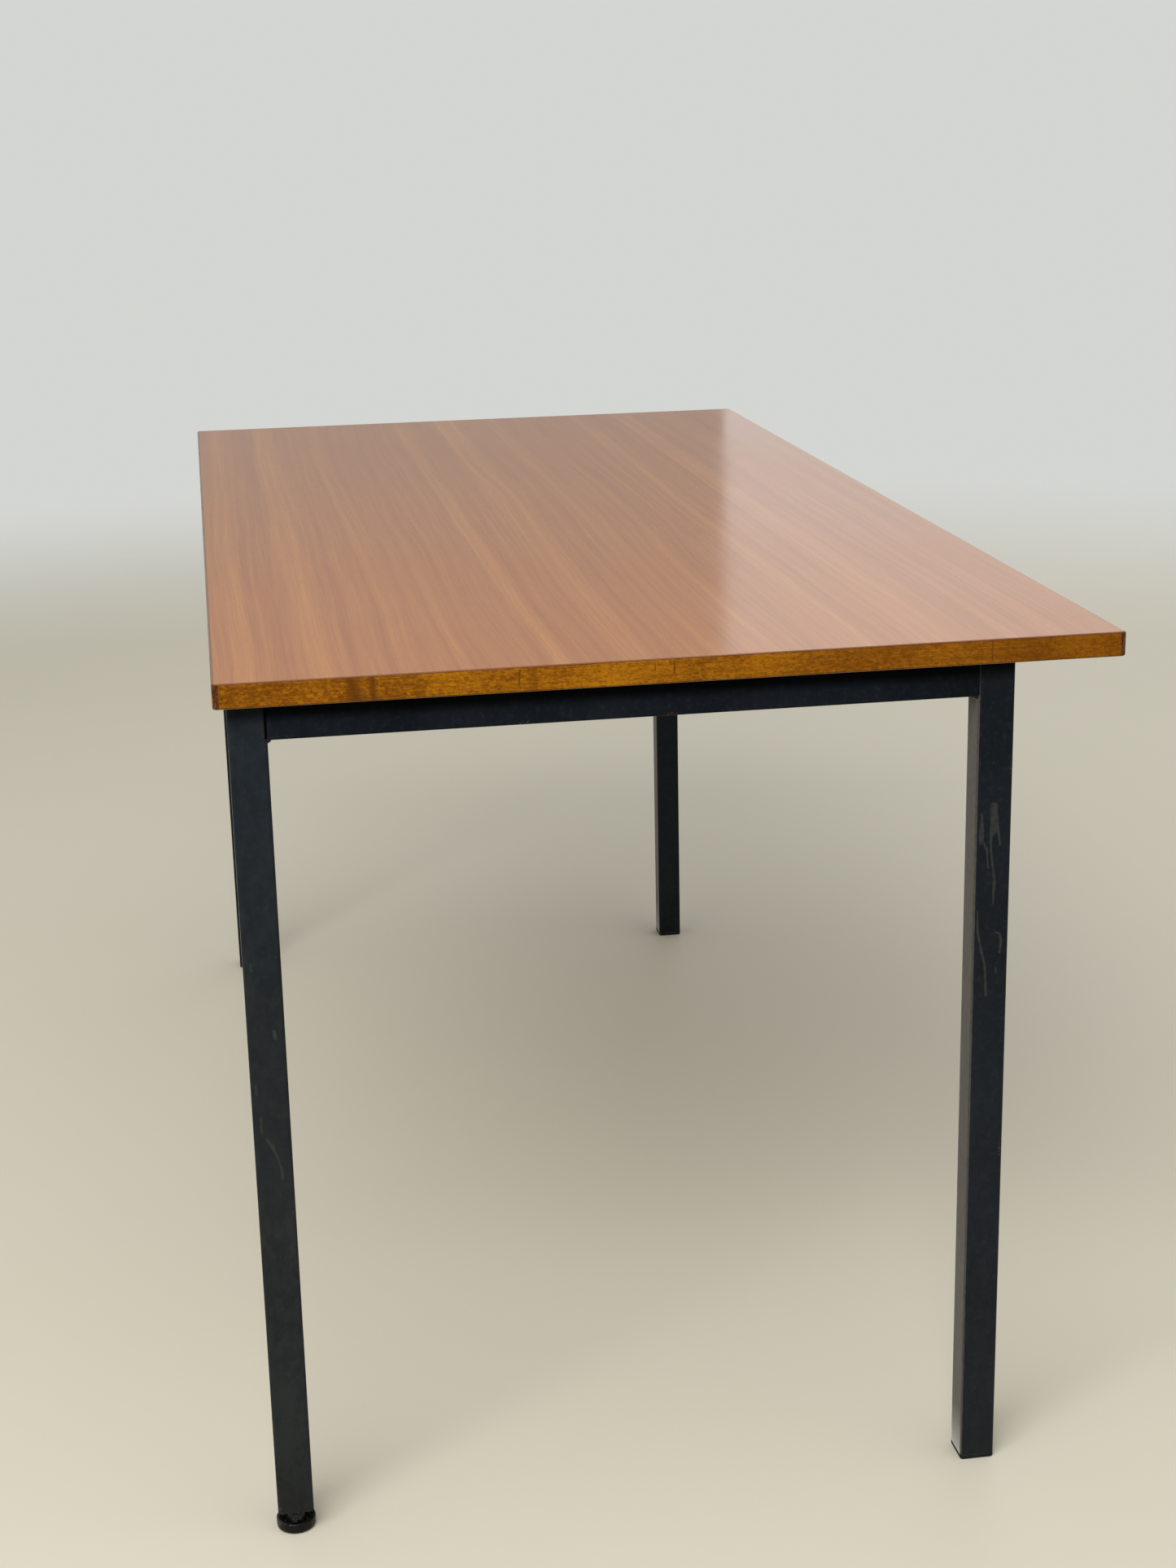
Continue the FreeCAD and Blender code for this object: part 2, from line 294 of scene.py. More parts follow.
board_top = board_high.z
veneer_low, veneer_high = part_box("top_face_veneer")
backing_low, backing_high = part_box("top_backing_veneer")
lipping_low, lipping_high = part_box("lipping_front")
board_under = backing_low.z
edge_radius = 0.0015
corner_radius = 0.004
corner_steps = 8
veneer_spacing = 0.006
flat_margin = 0.002
veneer_wear = 0.00032
x_out, y_out = board_high.x, board_high.y


def edge_inset(heights):
    """How far the board's edge stands in at each height: a quarter circle at the top and at the bottom."""
    from_face = np.minimum(board_top - heights, heights - board_under)
    short = np.clip(edge_radius - from_face, 0, edge_radius)
    return edge_radius - np.sqrt(edge_radius ** 2 - short ** 2)


def handled(points, seed, depth):
    """Dents and rubbed places along an edge: shallow wavers with a few sharp knocks, always inwards."""
    run = points[:, 0] + points[:, 1] * 1.7
    rubbed = np.clip(waver(run, seed, 0.02, 0.4), 0, None) * 0.5
    knocks = np.clip(waver(run, seed + 1, 0.006, 0.03) - 0.62, 0, None) * 3.5
    return (rubbed + knocks) * depth


def board_layer(name, low, high, face, material, seed):
    """One veneer: loops round the board at heights from its low to its high side, each in from the edge by
    the round of the edge, and one more loop on the flat so that the face stays flat to the eye."""
    base, normals = rounded_loop(x_out, y_out, corner_radius, corner_steps, veneer_spacing)
    heights = np.linspace(low, high, 5)
    insets = edge_inset(heights)
    where, height = (len(heights), high) if face == "top" else (0, low)
    heights = np.insert(heights, where, height)
    insets = np.insert(insets, where, edge_radius + flat_margin)
    wear = handled(base, seed, veneer_wear)
    fully = insets[:, None] + wear * (insets < edge_radius)[:, None]
    plan = base - normals * fully[..., None]
    piece = loops(name, at_heights(plan, heights), material)
    paint_values(piece, "arris", np.repeat((insets < edge_radius + 0.0001).astype(float), len(base)))
    return piece


def new_group(name, places, numbers, results):
    """Opens a new node group, and returns it with its inputs and its last node, which takes the results."""
    made = open_tree(bpy.data.node_groups.new(name, "ShaderNodeTree"))
    wanted = ((places, "INPUT", "Vector"), (numbers, "INPUT", "Float"), (results, "OUTPUT", "Float"))
    for names, way, kind in wanted:
        for socket in names:
            made.interface.new_socket(socket, in_out=way, socket_type="NodeSocket" + kind)
    return made, made.nodes.new("NodeGroupInput").outputs, made.nodes.new("NodeGroupOutput")


# The figure of wood along a board: growth stripes, fibres, pores and a cross mottle, each from 0 to 1.
wood_figure, given, result = new_group(
    "wood_figure", ["Place"], ["Fibre Width", "Pore Width", "Pore Length"],
    ["Growth", "Fibre", "Pores", "Mottle"])
x, y, z = parts(given["Place"])
slow = noise(stretched(given["Place"], (1.2, 5, 5)), 1.0, 2.0)
across = calc("MULTIPLY_ADD", slow, 0.035, y)
growth = noise(whole(times(x, 1.1), times(across, 150.0), z), 1.0, 3.0, 0.55)
fibre = noise(whole(times(x, 6.0), times(across, given["Fibre Width"]), z), 1.0, 3.0, 0.65)
pore_place = whole(times(x, given["Pore Length"]), times(across, given["Pore Width"]), z)
pores = fade(noise(pore_place, 1.0, 1.0), 0.61, 0.70)
mottle = noise(stretched(given["Place"], (22, 7, 7)), 1.0, 2.0, 0.5, 0.6)
join(result, Growth=growth, Fibre=fibre, Pores=pores, Mottle=mottle)


def figure(place, **widths):
    """Places the wood figure group, with its own widths."""
    made = add("Group", {"Place": place}, node_tree=wood_figure)
    join(made, **widths)
    return made.outputs


# Where an edge is rubbed: a ragged patch that follows the stored arris, from 0 to 1.
edge_wear, given, result = new_group("edge_wear", ["Place"], ["Arris", "Amount"], ["Mask"])
patches = noise(given["Place"], 28.0, 2.0)
ragged = noise(given["Place"], 420.0, 3.0, 0.7)
both = plus(times(patches, 0.6), times(ragged, 0.6))
join(result, Mask=fade(plus(both, times(given["Arris"], given["Amount"])), 1.0, 1.08))


def worn(place, amount):
    """Places the edge wear group on a piece that stores its arris."""
    links = {"Place": place, "Arris": stored("arris"), "Amount": amount}
    return add("Group", links, node_tree=edge_wear).outputs["Mask"]


leaf_width = 0.240
teak, shader, place = new_material("teak_face_veneer")
x, y, z = parts(place)
from_rear = calc("SUBTRACT", y_out, y)
drift = noise(stretched(place, (0.9, 2.5, 1)), 1.0, 2.0)
from_rear = plus(from_rear, calc("MULTIPLY_ADD", drift, 0.030, -0.015))
leaf_place = calc("DIVIDE", from_rear, leaf_width)
leaf = calc("FLOOR", leaf_place)
in_leaf = calc("FRACT", leaf_place)
bands = add("ValToRGB", {0: in_leaf})
bands.color_ramp.interpolation = "EASE"
# Across one leaf: pale bands of early wood, 8 to 25 mm wide, between pinkish brown ones.
leaf_bands = ((0.00, 0.35), (0.05, 0.30), (0.075, 0.85), (0.115, 0.75), (0.15, 0.28), (0.24, 0.10),
              (0.285, 0.22), (0.31, 1.00), (0.39, 0.80), (0.43, 0.35), (0.50, 0.30), (0.57, 0.22),
              (0.61, 0.60), (0.655, 0.50), (0.69, 0.20), (0.78, 0.36), (0.86, 0.14), (0.93, 0.42),
              (0.96, 0.18), (1.00, 0.35))
while len(bands.color_ramp.elements) < len(leaf_bands):
    bands.color_ramp.elements.new(0.5)
for element, (position, paleness) in zip(bands.color_ramp.elements, leaf_bands):
    element.position = position
    element.color = (paleness, paleness, paleness, 1)
leaf_shift = 0.35
figure_place = whole(x, times(in_leaf, leaf_width), times(leaf, leaf_shift))
teak_figure = figure(figure_place, Fibre_Width=1000.0, Pore_Width=2600.0, Pore_Length=60.0)
paleness = calc("MULTIPLY_ADD", teak_figure["Growth"], 1.7, -0.60)
paleness = plus(times(bands.outputs[0], 0.42), times(paleness, 0.62))
paleness = plus(paleness, calc("MULTIPLY_ADD", teak_figure["Mottle"], 0.10, -0.05), clamp=True)
colour = tint(paleness, (0.385, 0.136, 0.040), (0.585, 0.248, 0.070))
streak = fade(teak_figure["Fibre"], 0.30, 0.72, 0.90, 1.07)
colour = tint(1.0, colour, add("CombineColor", {0: streak, 1: streak, 2: streak}).outputs[0], "MULTIPLY")
colour = tint(times(teak_figure["Pores"], 0.28), colour, (0.16, 0.055, 0.022))
rub = worn(place, 0.30)
colour = tint(rub, colour, (0.20, 0.085, 0.035))
# Painted shade: the board's rounded edge is drawn as a darker line.
painted_arris_shade = fade(stored("arris"), 0.5, 1.0, 0.0, 0.75)
colour = tint(painted_arris_shade, colour, (0.130, 0.040, 0.010))
haze = noise(stretched(place, (3, 9, 1)), 1.0, 4.0, 0.6)
fine_scratches = fade(noise(stretched(place, (40, 700, 1)), 1.0, 2.0), 0.66, 0.72)
gloss = plus(fade(haze, 0.3, 0.7, 0.085, 0.15), times(fine_scratches, 0.05))
gloss = plus(gloss, times(rub, 0.3))
skin = calc("MULTIPLY_ADD", teak_figure["Pores"], -0.4, noise(stretched(place, (30, 260, 1)), 1.0, 1.0))
join(shader, Base_Color=colour, Roughness=gloss, Specular_IOR_Level=0.5,
     Normal=relief(skin, 0.000006, 0.5))

worktop = board_layer("worktop_teak_veneer", veneer_low.z, veneer_high.z, "top", teak, 11)
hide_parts("top_face_veneer")
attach(worktop, "desk")

# --------------------
# Core and backing: particle board, and under it a plain counter veneer without lacquer, so the board stays
# flat. The core is wholly covered and keeps its own shape.
chips, shader, place = new_material("particle_board")
flakes = add("TexVoronoi", {"Vector": stretched(place, (240, 240, 700)), "Scale": 1.0}).outputs["Color"]
shade = add("SeparateColor", {0: flakes}).outputs[0]
join(shader, Base_Color=tint(shade, (0.36, 0.24, 0.13), (0.62, 0.46, 0.29)), Roughness=0.9,
     Normal=relief(shade, 0.0003, 0.5))
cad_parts["top_core"].material_slots[0].material = chips

counter, shader, place = new_material("backing_veneer")
plain_figure = figure(place, Fibre_Width=700.0, Pore_Width=1900.0, Pore_Length=50.0)
paleness = plus(times(plain_figure["Growth"], 0.7), times(plain_figure["Fibre"], 0.4), clamp=True)
colour = tint(paleness, (0.22, 0.12, 0.060), (0.42, 0.27, 0.150))
colour = tint(times(plain_figure["Pores"], 0.5), colour, (0.11, 0.06, 0.03))
grime = fade(noise(place, 5.0, 4.0, 0.6), 0.52, 0.72, 0.0, 0.45)
colour = tint(grime, colour, (0.16, 0.11, 0.075))
join(shader, Base_Color=colour, Roughness=fade(plain_figure["Fibre"], 0.3, 0.7, 0.62, 0.80),
     Normal=relief(plain_figure["Fibre"], 0.00012, 0.6))

backing = board_layer("underside_backing_veneer", backing_low.z, backing_high.z, "bottom", counter, 23)
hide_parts("top_backing_veneer")
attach(backing, "desk")


# --------------------
# Lippings: 5 mm beech, stained golden brown, glued round the core and flushed off with it before the veneers
# go on. The long pair runs through to the corners, where its end grain has drunk more stain, and the short
# pair is butted between.

# A run or stroke: how near a point is to the line between two places. The nearest place is the projection
# on the line, held between its ends, and the mark fades out past the width there, from 1 to 0.
run_mark, given, result = new_group(
    "run_mark", ["Point", "From", "To"], ["From Width", "To Width", "Core"], ["Mask"])


def vector_calc(operation, *values):
    """One step of arithmetic on vectors."""
    return add("VectorMath", dict(enumerate(values)), operation=operation).outputs


run = vector_calc("SUBTRACT", given["To"], given["From"])[0]
part = vector_calc("SUBTRACT", given["Point"], given["From"])[0]
share = calc("DIVIDE", vector_calc("DOT_PRODUCT", part, run)["Value"],
             vector_calc("DOT_PRODUCT", run, run)["Value"], clamp=True)
nearest = add("VectorMath", {0: run, 3: share}, operation="SCALE").outputs[0]
gap = vector_calc("LENGTH", vector_calc("SUBTRACT", part, nearest)[0])["Value"]
wider = calc("SUBTRACT", given["To Width"], given["From Width"])
width = calc("MULTIPLY_ADD", wider, share, given["From Width"])
near = calc("DIVIDE", gap, times(width, 0.5))
join(result, Mask=fade(near, given["Core"], 1.20, 1.0, 0.0))


mark_shake = 0.0012


def strokes(place, marks, shake, core):
    """Where the strokes are on an end face: each is a line of (y, z, width) places, which wavers by the
    shake and is solid over the core, a share of its width."""
    _, y, z = parts(place)
    wobble = noise(place, 60.0, 2.0)
    shaken = plus(y, calc("MULTIPLY_ADD", wobble, 2 * shake, -shake))
    on_face = whole(0.0, shaken, z)
    marked = None
    for points in marks:
        for first, last in zip(points, points[1:]):
            links = {"Point": on_face, "From": (0, *first[:2]), "To": (0, *last[:2]),
                     "From Width": first[2], "To Width": last[2], "Core": core}
            mark = add("Group", links, node_tree=run_mark).outputs["Mask"]
            marked = mark if marked is None else calc("MAXIMUM", marked, mark)
    return marked


def lipping_material(name, turn, marks=()):
    """Stained beech whose length is the X axis, or the Y axis after a quarter turn, with any stains and
    scratches of its left end drawn on."""
    made, shader, place = new_material(name)
    x, y, z = parts(place)
    length, depth = (y, x) if turn else (x, y)
    wood_place = whole(length, z, depth)
    beech = figure(wood_place, Fibre_Width=1500.0, Pore_Width=1700.0, Pore_Length=160.0)
    blotch = noise(stretched(wood_place, (230, 400, 100)), 1.0, 5.0, 0.70, 0.5)
    cloud = noise(stretched(wood_place, (14, 20, 10)), 1.0, 2.0)
    paleness = plus(times(blotch, 0.9), times(beech["Fibre"], 0.5))
    paleness = fade(plus(paleness, times(cloud, 0.5)), 0.74, 1.18)
    # Painted shade: the stain is darkened towards the sitter's side, the front.
    painted_shade_to_front = fade(y, 0.20, -0.40, 0.0, 0.55)
    paleness = times(paleness, calc("SUBTRACT", 1.0, painted_shade_to_front))
    colour = tint(paleness, (0.140, 0.040, 0.0002), (0.410, 0.155, 0.0020))
    flecks = fade(noise(stretched(wood_place, (420, 1300, 300)), 1.0, 2.0), 0.56, 0.68)
    colour = tint(times(flecks, 0.68), colour, (0.095, 0.026, 0.0005))
    stains = fade(noise(stretched(wood_place, (34, 9, 6)), 1.0, 3.0, 0.6), 0.58, 0.76)
    colour = tint(times(stains, 0.60), colour, (0.110, 0.032, 0.0005))
    if marks:
        drawn = times(strokes(place, marks, mark_shake, 0.0), fade(blotch, 0.30, 0.60, 0.35, 1.0))
        drawn = times(drawn, calc("LESS_THAN", x, 0.0))
        colour = tint(times(drawn, 0.85), colour, (0.070, 0.020, 0.0005))
    end_rings = noise(stretched(place, (300, 900, 180)), 1.0, 3.0, 0.6, 1.5)
    end_colour = tint(fade(end_rings, 0.40, 0.62), (0.022, 0.008, 0.003), (0.170, 0.055, 0.018))
    colour = tint(stored("end_grain"), colour, end_colour)
    # Painted shade: the rounded edges are darkened, a little less in the pale blotches.
    painted_beech_arris_shade = times(fade(stored("arris"), 0.15, 0.90, 0.0, 0.80),
                          fade(blotch, 0.25, 0.60, 1.0, 0.65))
    colour = tint(painted_beech_arris_shade, colour, (0.085, 0.022, 0.002))
    bare = worn(place, 0.24)
    colour = tint(bare, colour, (0.36, 0.19, 0.06))
    dirt = fade(stored("joint"), 0.2, 1.0, 0.0, 0.65)
    colour = tint(dirt, colour, (0.06, 0.025, 0.010))
    sheen = plus(fade(blotch, 0.3, 0.7, 0.30, 0.44), times(bare, 0.3))
    height = calc("MULTIPLY_ADD", flecks, -0.5, blotch)
    join(shader, Base_Color=colour, Roughness=sheen, Specular_IOR_Level=0.10,
         Normal=relief(height, 0.00006, 0.7))
    return made


lipping_wear, lipping_tool_marks = 0.00045, 0.00008
lipping_spacing = 0.004
y_joint = abs(lipping_high.y)
inner_count, outer_count = 12, 180


def lipping(node, outline, normals, at_end, material, seed):
    """A lipping: loops round its outline at heights from the lower veneer to the upper one, each moved in
    by the round of the edge, and dented a little on the outer side."""
    rounding = np.sin(np.linspace(0, 1, 6) * math.pi / 2) * (edge_radius - (lipping_low.z - board_under))
    rise = lipping_low.z + np.concatenate([rounding, np.linspace(0.004, 0.0085, 3)])
    heights = np.concatenate([rise, board_top + board_under - rise[::-1]])
    outer = (np.abs(normals).sum(1) > 0).astype(float)
    run = outline[:, 0] + outline[:, 1]
    arris = (edge_inset(heights) > 0.00002).astype(float)
    wear = handled(outline, seed, lipping_wear) * (0.25 + 0.75 * arris[:, None])
    wear = wear + np.clip(waver(run, seed + 7, 0.004, 0.05), 0, None) * lipping_tool_marks
    inset = edge_inset(heights)[:, None] + wear * outer
    plan = outline - normals * inset[..., None]
    piece = loops(node + "_beech", at_heights(plan, heights), material)
    paint_values(piece, "arris", (arris[:, None] * outer).ravel())
    paint_values(piece, "end_grain", np.broadcast_to(at_end, plan.shape[:2]).ravel())
    near_veneer = np.clip(1 - np.minimum(heights[-1] - heights, heights - heights[0]) / 0.0008, 0, 1)
    butt = np.clip(1 - (np.abs(outline[:, 1]) - y_joint) / 0.0006, 0, 1) * (at_end > 0)
    paint_values(piece, "joint", np.maximum(near_veneer[:, None] * outer, butt).ravel())
    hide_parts(node)
    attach(piece, "desk")


beech_long = lipping_material("stained_beech_long", False)
# Strokes on the left end, as (y, z, width): a soft stain, a sharp one beside it, three small marks, an
# upright scratch and a slanting one.
board_middle = (board_top + board_under) / 2
end_marks = [
    [(0.2560, board_middle + 0.008, 0.010), (0.2535, board_middle, 0.018), (0.2520, board_under, 0.024)],
    [(0.2395, board_middle + 0.009, 0.0075), (0.2388, board_under, 0.0100)],
    [(0.1265, board_middle + 0.007, 0.0012), (0.1272, board_middle - 0.004, 0.0018)],
    [(0.0065, board_middle + 0.008, 0.0016), (0.0062, board_middle - 0.002, 0.0026)],
    [(0.0215, board_middle + 0.007, 0.0014), (0.0212, board_middle + 0.001, 0.0014)],
    [(-0.2490, board_middle + 0.009, 0.0016), (-0.2492, board_middle - 0.007, 0.0014)],
    [(-0.2135, board_middle + 0.0025, 0.0010), (-0.2225, board_middle - 0.0045, 0.0012)],
]
beech_short = lipping_material("stained_beech_short", True, end_marks)
ring, ring_normals = rounded_loop(x_out, y_out, corner_radius, corner_steps, lipping_spacing)
for side, node in ((-1, "lipping_front"), (1, "lipping_rear")):
    keep = ring[:, 1] * side > y_joint + 0.00001
    outer_points, outer_normals = ring[keep], ring_normals[keep]
    order = np.argsort(np.arctan2(outer_points[:, 1] * side - y_joint, outer_points[:, 0] * side))
    inner_x = np.linspace(-x_out + 0.01, x_out - 0.01, inner_count) * side
    inner = np.stack([inner_x, np.full(inner_count, y_joint * side)], axis=1)
    ends = np.array([[x_out, y_joint], [-x_out, y_joint]]) * side
    outline = np.concatenate([ends[:1], outer_points[order], ends[1:], inner])
    normals = np.concatenate([[[side, 0]], outer_normals[order], [[-side, 0]], np.zeros((inner_count, 2))])
    at_end = np.clip((np.abs(outline[:, 0]) - (x_out - 0.0022)) / 0.0008, 0, 1)
    lipping(node, outline, normals, at_end, beech_long, 31 + side)

for side, node in ((-1, "lipping_left"), (1, "lipping_right")):
    low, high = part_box(node)
    outer_x, inner_x = (low.x, high.x) if side < 0 else (high.x, low.x)
    outer_y = np.linspace(low.y, high.y, outer_count) * side
    inner_y = np.linspace(high.y, low.y, inner_count) * side
    outline = np.concatenate([np.stack([np.full(outer_count, outer_x), outer_y], axis=1),
                              np.stack([np.full(inner_count, inner_x), inner_y], axis=1)])
    normals = np.concatenate([np.broadcast_to([side, 0], (outer_count, 2)), np.zeros((inner_count, 2))])
    lipping(node, outline, normals, np.zeros(len(outline)), beech_short, 57 + side)


# --------------------
# Frame: four legs and four rails of 30 mm square steel tube, sawn to length and welded flush under the
# board, in blue-black enamel. Dried runs of water and dust have marked the two left legs.
def enamel(name, runs=(), side_x=None, dusty=0.0, burnt=False, sheen=0.9, inner_y=None, groove_y=None):
    """Blue-black enamel: two close tones, a film of dust, painted shade close under the board, rust where the
    edges are rubbed, and the dried runs on a leg's outer face. A painted reflection may lie on its inner
    face, and painted shade in its groove by a rail."""
    made, shader, place = new_material(name)
    tone = noise(stretched(place, (9, 9, 5)), 1.0, 4.0, 0.6)
    grain = noise(place, 190.0, 3.0, 0.6)
    colour = tint(fade(tone, 0.35, 0.68), (0.0050, 0.0072, 0.0104), (0.0088, 0.0120, 0.0178))
    colour = tint(fade(grain, 0.48, 0.74, 0.0, 0.40), colour, (0.020, 0.024, 0.029))
    x, y, z = parts(place)
    # Painted shade: close under the board the enamel is darkened to near black, as the overhang's shadow.
    painted_shade_under_board = fade(z, board_under - 0.018, board_under - 0.007, 0.0, 0.96)
    colour = tint(painted_shade_under_board, colour, (0.0004, 0.0005, 0.0006))
    film = fade(noise(stretched(place, (30, 30, 12)), 1.0, 5.0, 0.65), 0.50, 0.74)
    low_film = fade(z, 0.02, 0.55, 0.55, 0.10)
    mottle = fade(noise(stretched(place, (110, 110, 70)), 1.0, 4.0, 0.65), 0.36, 0.64)
    film = plus(calc("MULTIPLY_ADD", film, 0.45, 0.42), times(mottle, 0.20))
    film = times(film, plus(low_film, dusty), clamp=True)
    # Partly painted floor bounce: the dust film is tinted warmer towards the floor and bluer higher up.
    dust_colour_and_floor_bounce = tint(fade(z, 0.40, 0.66), (0.035, 0.037, 0.034), (0.029, 0.036, 0.042))
    colour = tint(times(film, 0.58), colour, dust_colour_and_floor_bounce)
    specks = fade(noise(place, 620.0, 1.0), 0.765, 0.80)
    colour = tint(times(specks, 0.4), colour, (0.07, 0.066, 0.056))
    rub = worn(place, 0.27)
    rust = tint(fade(grain, 0.42, 0.60), (0.045, 0.018, 0.009), (0.10, 0.070, 0.050))
    colour = tint(rub, colour, rust)
    roughness = plus(fade(tone, 0.3, 0.7, 0.24, 0.36), times(film, 0.20))
    roughness = plus(roughness, times(rub, 0.25))
    height = calc("MULTIPLY_ADD", rub, -0.8, times(grain, 0.5))
    if inner_y is not None:
        # Painted reflection: a pale warm grey on the inner face stands for the floor's reflection at a
        # grazing angle.
        inner_face = calc("GREATER_THAN", y, inner_y - 0.0010)
        painted_inner_face_reflection = times(inner_face, fade(grain, 0.25, 0.60, 0.50, 0.80))
        colour = tint(painted_inner_face_reflection, colour, (0.083, 0.077, 0.070))
    if groove_y is not None:
        # Painted shade: the leg is darkened to near black in the groove beside the rail.
        from_groove = calc("SUBTRACT", y, groove_y)
        groove = fade(from_groove, 0.0014, 0.0030, 1.0, 0.0)
        groove = times(groove, calc("GREATER_THAN", z, rail_under + 0.001))
        colour = tint(groove, colour, (0.0006, 0.0006, 0.0006))
    if burnt:
        soot = fade(noise(place, 90.0, 3.0), 0.48, 0.66)
        colour = tint(times(soot, 0.7), colour, (0.085, 0.045, 0.024))
    if runs:
        outer_face = calc("LESS_THAN", x, side_x + 0.0012)
        marked = times(strokes(place, runs, mark_shake, 0.70), outer_face)
        marked = times(marked, fade(grain, 0.25, 0.55, 0.45, 1.0))
        colour = tint(times(marked, 0.80), colour, (0.038, 0.040, 0.035))
        roughness = plus(roughness, times(marked, 0.2))
        height = plus(height, marked)
    join(shader, Base_Color=colour, Roughness=roughness, Normal=relief(height, 0.00005, 0.6))
    join(shader, Specular_IOR_Level=0.05 * sheen, Sheen_Weight=sheen, Sheen_Roughness=0.24,
         Sheen_Tint=(1.0, 0.95, 0.86))
    return made


rail_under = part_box("rail_left")[0].z
tube_low, tube_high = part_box("leg_front_left")
tube_size = tube_high.x - tube_low.x
half_tube = tube_size / 2
tube_wall, tube_radius, tube_steps = 0.0015, 0.003, 7
burr, station_spacing, flat_from_corner = 0.00025, 0.04, 0.0022


def tube_loop(size, radius, sharp):
    """Points round a square tube's skin, with the arris value of each: sharp round the corners, 0 on the
    flats between them."""
    corners = rounded_loop(size / 2, size / 2, radius, tube_steps, size)[0].reshape(4, -1, 2)
    flat = size / 2 - radius - flat_from_corner
    sides = np.array([[-1, 0], [0, -1], [1, 0], [0, 1]])
    middles = np.array([[0, 1], [-1, 0], [0, -1], [1, 0]]) * size / 2
    flats = np.stack([middles - sides * flat, middles + sides * flat], axis=1)
    arris = np.concatenate([np.full(corners.shape[:2], sharp), np.zeros((4, 2))], axis=1)
    return np.concatenate([corners, flats], axis=1).reshape(-1, 2), arris.ravel()


def square_tube(name, low, high, material):
    """A length of tube along the longest side of its box: loops of the outer skin from end to end, then of
    the bore back again, so the sawn ends are rings of the wall's thickness with a slight burr radius."""
    size = np.array(high) - np.array(low)
    axis = int(np.argmax(size))
    across = [(axis + 1) % 3, (axis + 2) % 3]
    length = size[axis]
    outer, outer_arris = tube_loop(tube_size, tube_radius, 1.0)
    bore, bore_arris = tube_loop(tube_size - 2 * tube_wall, tube_radius - tube_wall, 0.0)
    sawn_arris = np.full(len(outer), 0.8)
    stations = np.linspace(burr, length - burr, max(int(length / station_spacing), 3))
    rings = [(outer, sawn_arris, 0, burr), *((outer, outer_arris, height, 0) for height in stations),
             (outer, sawn_arris, length, burr), (bore, bore_arris, length, 0), (bore, bore_arris, 0, 0)]
    levels = np.zeros((len(rings), len(outer), 3))
    for level, (loop, _, height, shrink) in zip(levels, rings):
        level[:, across] = loop * (1 - shrink / half_tube)
        level[:, axis] = height
    centre = (np.array(low) + np.array(high)) / 2
    centre[axis] = low[axis]
    piece = loops(name, levels + centre, material, closed=True, smooth_angle=50)
    paint_values(piece, "arris", np.concatenate([arris for _, arris, _, _ in rings]))
    return piece


front_left_low, front_left_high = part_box("leg_front_left")
rear_left_low, rear_left_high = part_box("leg_rear_left")


def on_leg(edge_y, *runs):
    """Strokes whose places are given in millimetres: in from a leg's edge, towards the sitter's side, up
    from the floor, and wide."""
    return [[(edge_y - inwards / 1000, height / 1000, width / 1000) for inwards, height, width in run]
            for run in runs]


front_edge = front_left_high.y
front_leg_runs = on_leg(
    front_edge,
    [(14.6, 598, 6.6), (15.4, 584, 7.4), (14.2, 576, 6.2)],
    [(12.8, 579, 3.4), (13.0, 563, 1.6), (13.9, 552, 2.0), (15.9, 542, 2.4), (16.4, 530, 2.6),
     (15.8, 515, 1.6)],
    [(18.2, 580, 2.6), (20.4, 568, 1.6), (20.7, 565, 1.8)],
    [(4.8, 592, 1.6), (4.2, 573, 4.6), (4.0, 567, 3.2)],
    [(5.4, 569, 1.8), (9.4, 561, 2.0), (10.0, 554, 1.2), (11.0, 546, 2.0)],
    [(3.1, 509, 1.0), (3.4, 490, 2.2), (6.6, 474, 2.2), (10.2, 463, 2.0), (11.2, 449, 2.0),
     (11.9, 435, 2.4)],
    [(18.2, 490, 1.2), (22.4, 488, 2.2), (23.8, 482, 2.2), (23.2, 472, 2.2)],
    [(19.8, 458, 1.6), (20.0, 454, 1.6)])
rear_leg_runs = on_leg(
    rear_left_high.y,
    [(10.8, 361, 2.0), (14.6, 355, 3.4), (15.6, 351, 3.0)],
    [(15.6, 351, 1.6), (18.6, 342, 1.4), (21.0, 334, 2.2), (21.2, 326, 2.6)],
    [(6.8, 380, 2.2), (7.0, 367, 2.0)],
    [(4.2, 408, 2.0), (4.6, 401, 2.8)],
    [(6.8, 511, 1.4), (6.9, 505, 1.6)],
    [(21.6, 453, 3.0), (22.2, 447, 3.4)])
frame_enamel = enamel("blue_black_enamel")
rail_enamel = enamel("blue_black_enamel_on_rails", sheen=0.25)
leg_enamels = {
    "front_left": enamel("blue_black_enamel_front_left", front_leg_runs, front_left_low.x, dusty=0.20,
                         sheen=0.70, inner_y=front_edge),
    "rear_left": enamel("blue_black_enamel_rear_left", rear_leg_runs, rear_left_low.x, dusty=1.0,
                        sheen=0.45, groove_y=rear_left_low.y),
}
for corner in ("front_left", "front_right", "rear_left", "rear_right"):
    leg = square_tube(f"tube_leg_{corner}", *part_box(f"leg_{corner}"), leg_enamels.get(corner, frame_enamel))
    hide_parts(f"leg_{corner}")
    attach(leg, "desk")
for side in ("front", "rear", "left", "right"):
    rail = square_tube(f"tube_rail_{side}", *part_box(f"rail_{side}"), rail_enamel)
    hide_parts(f"rail_{side}")
    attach(rail, "desk")


# --------------------
# Welds: gas-shielded beads inside and under each leg-to-rail joint and beside each lug, left as laid and
# painted over with the frame. The outer grooves at the front left leg were filled and ground flush.
bead_step, ripple, bulge = 0.0005, 0.0016, 0.86


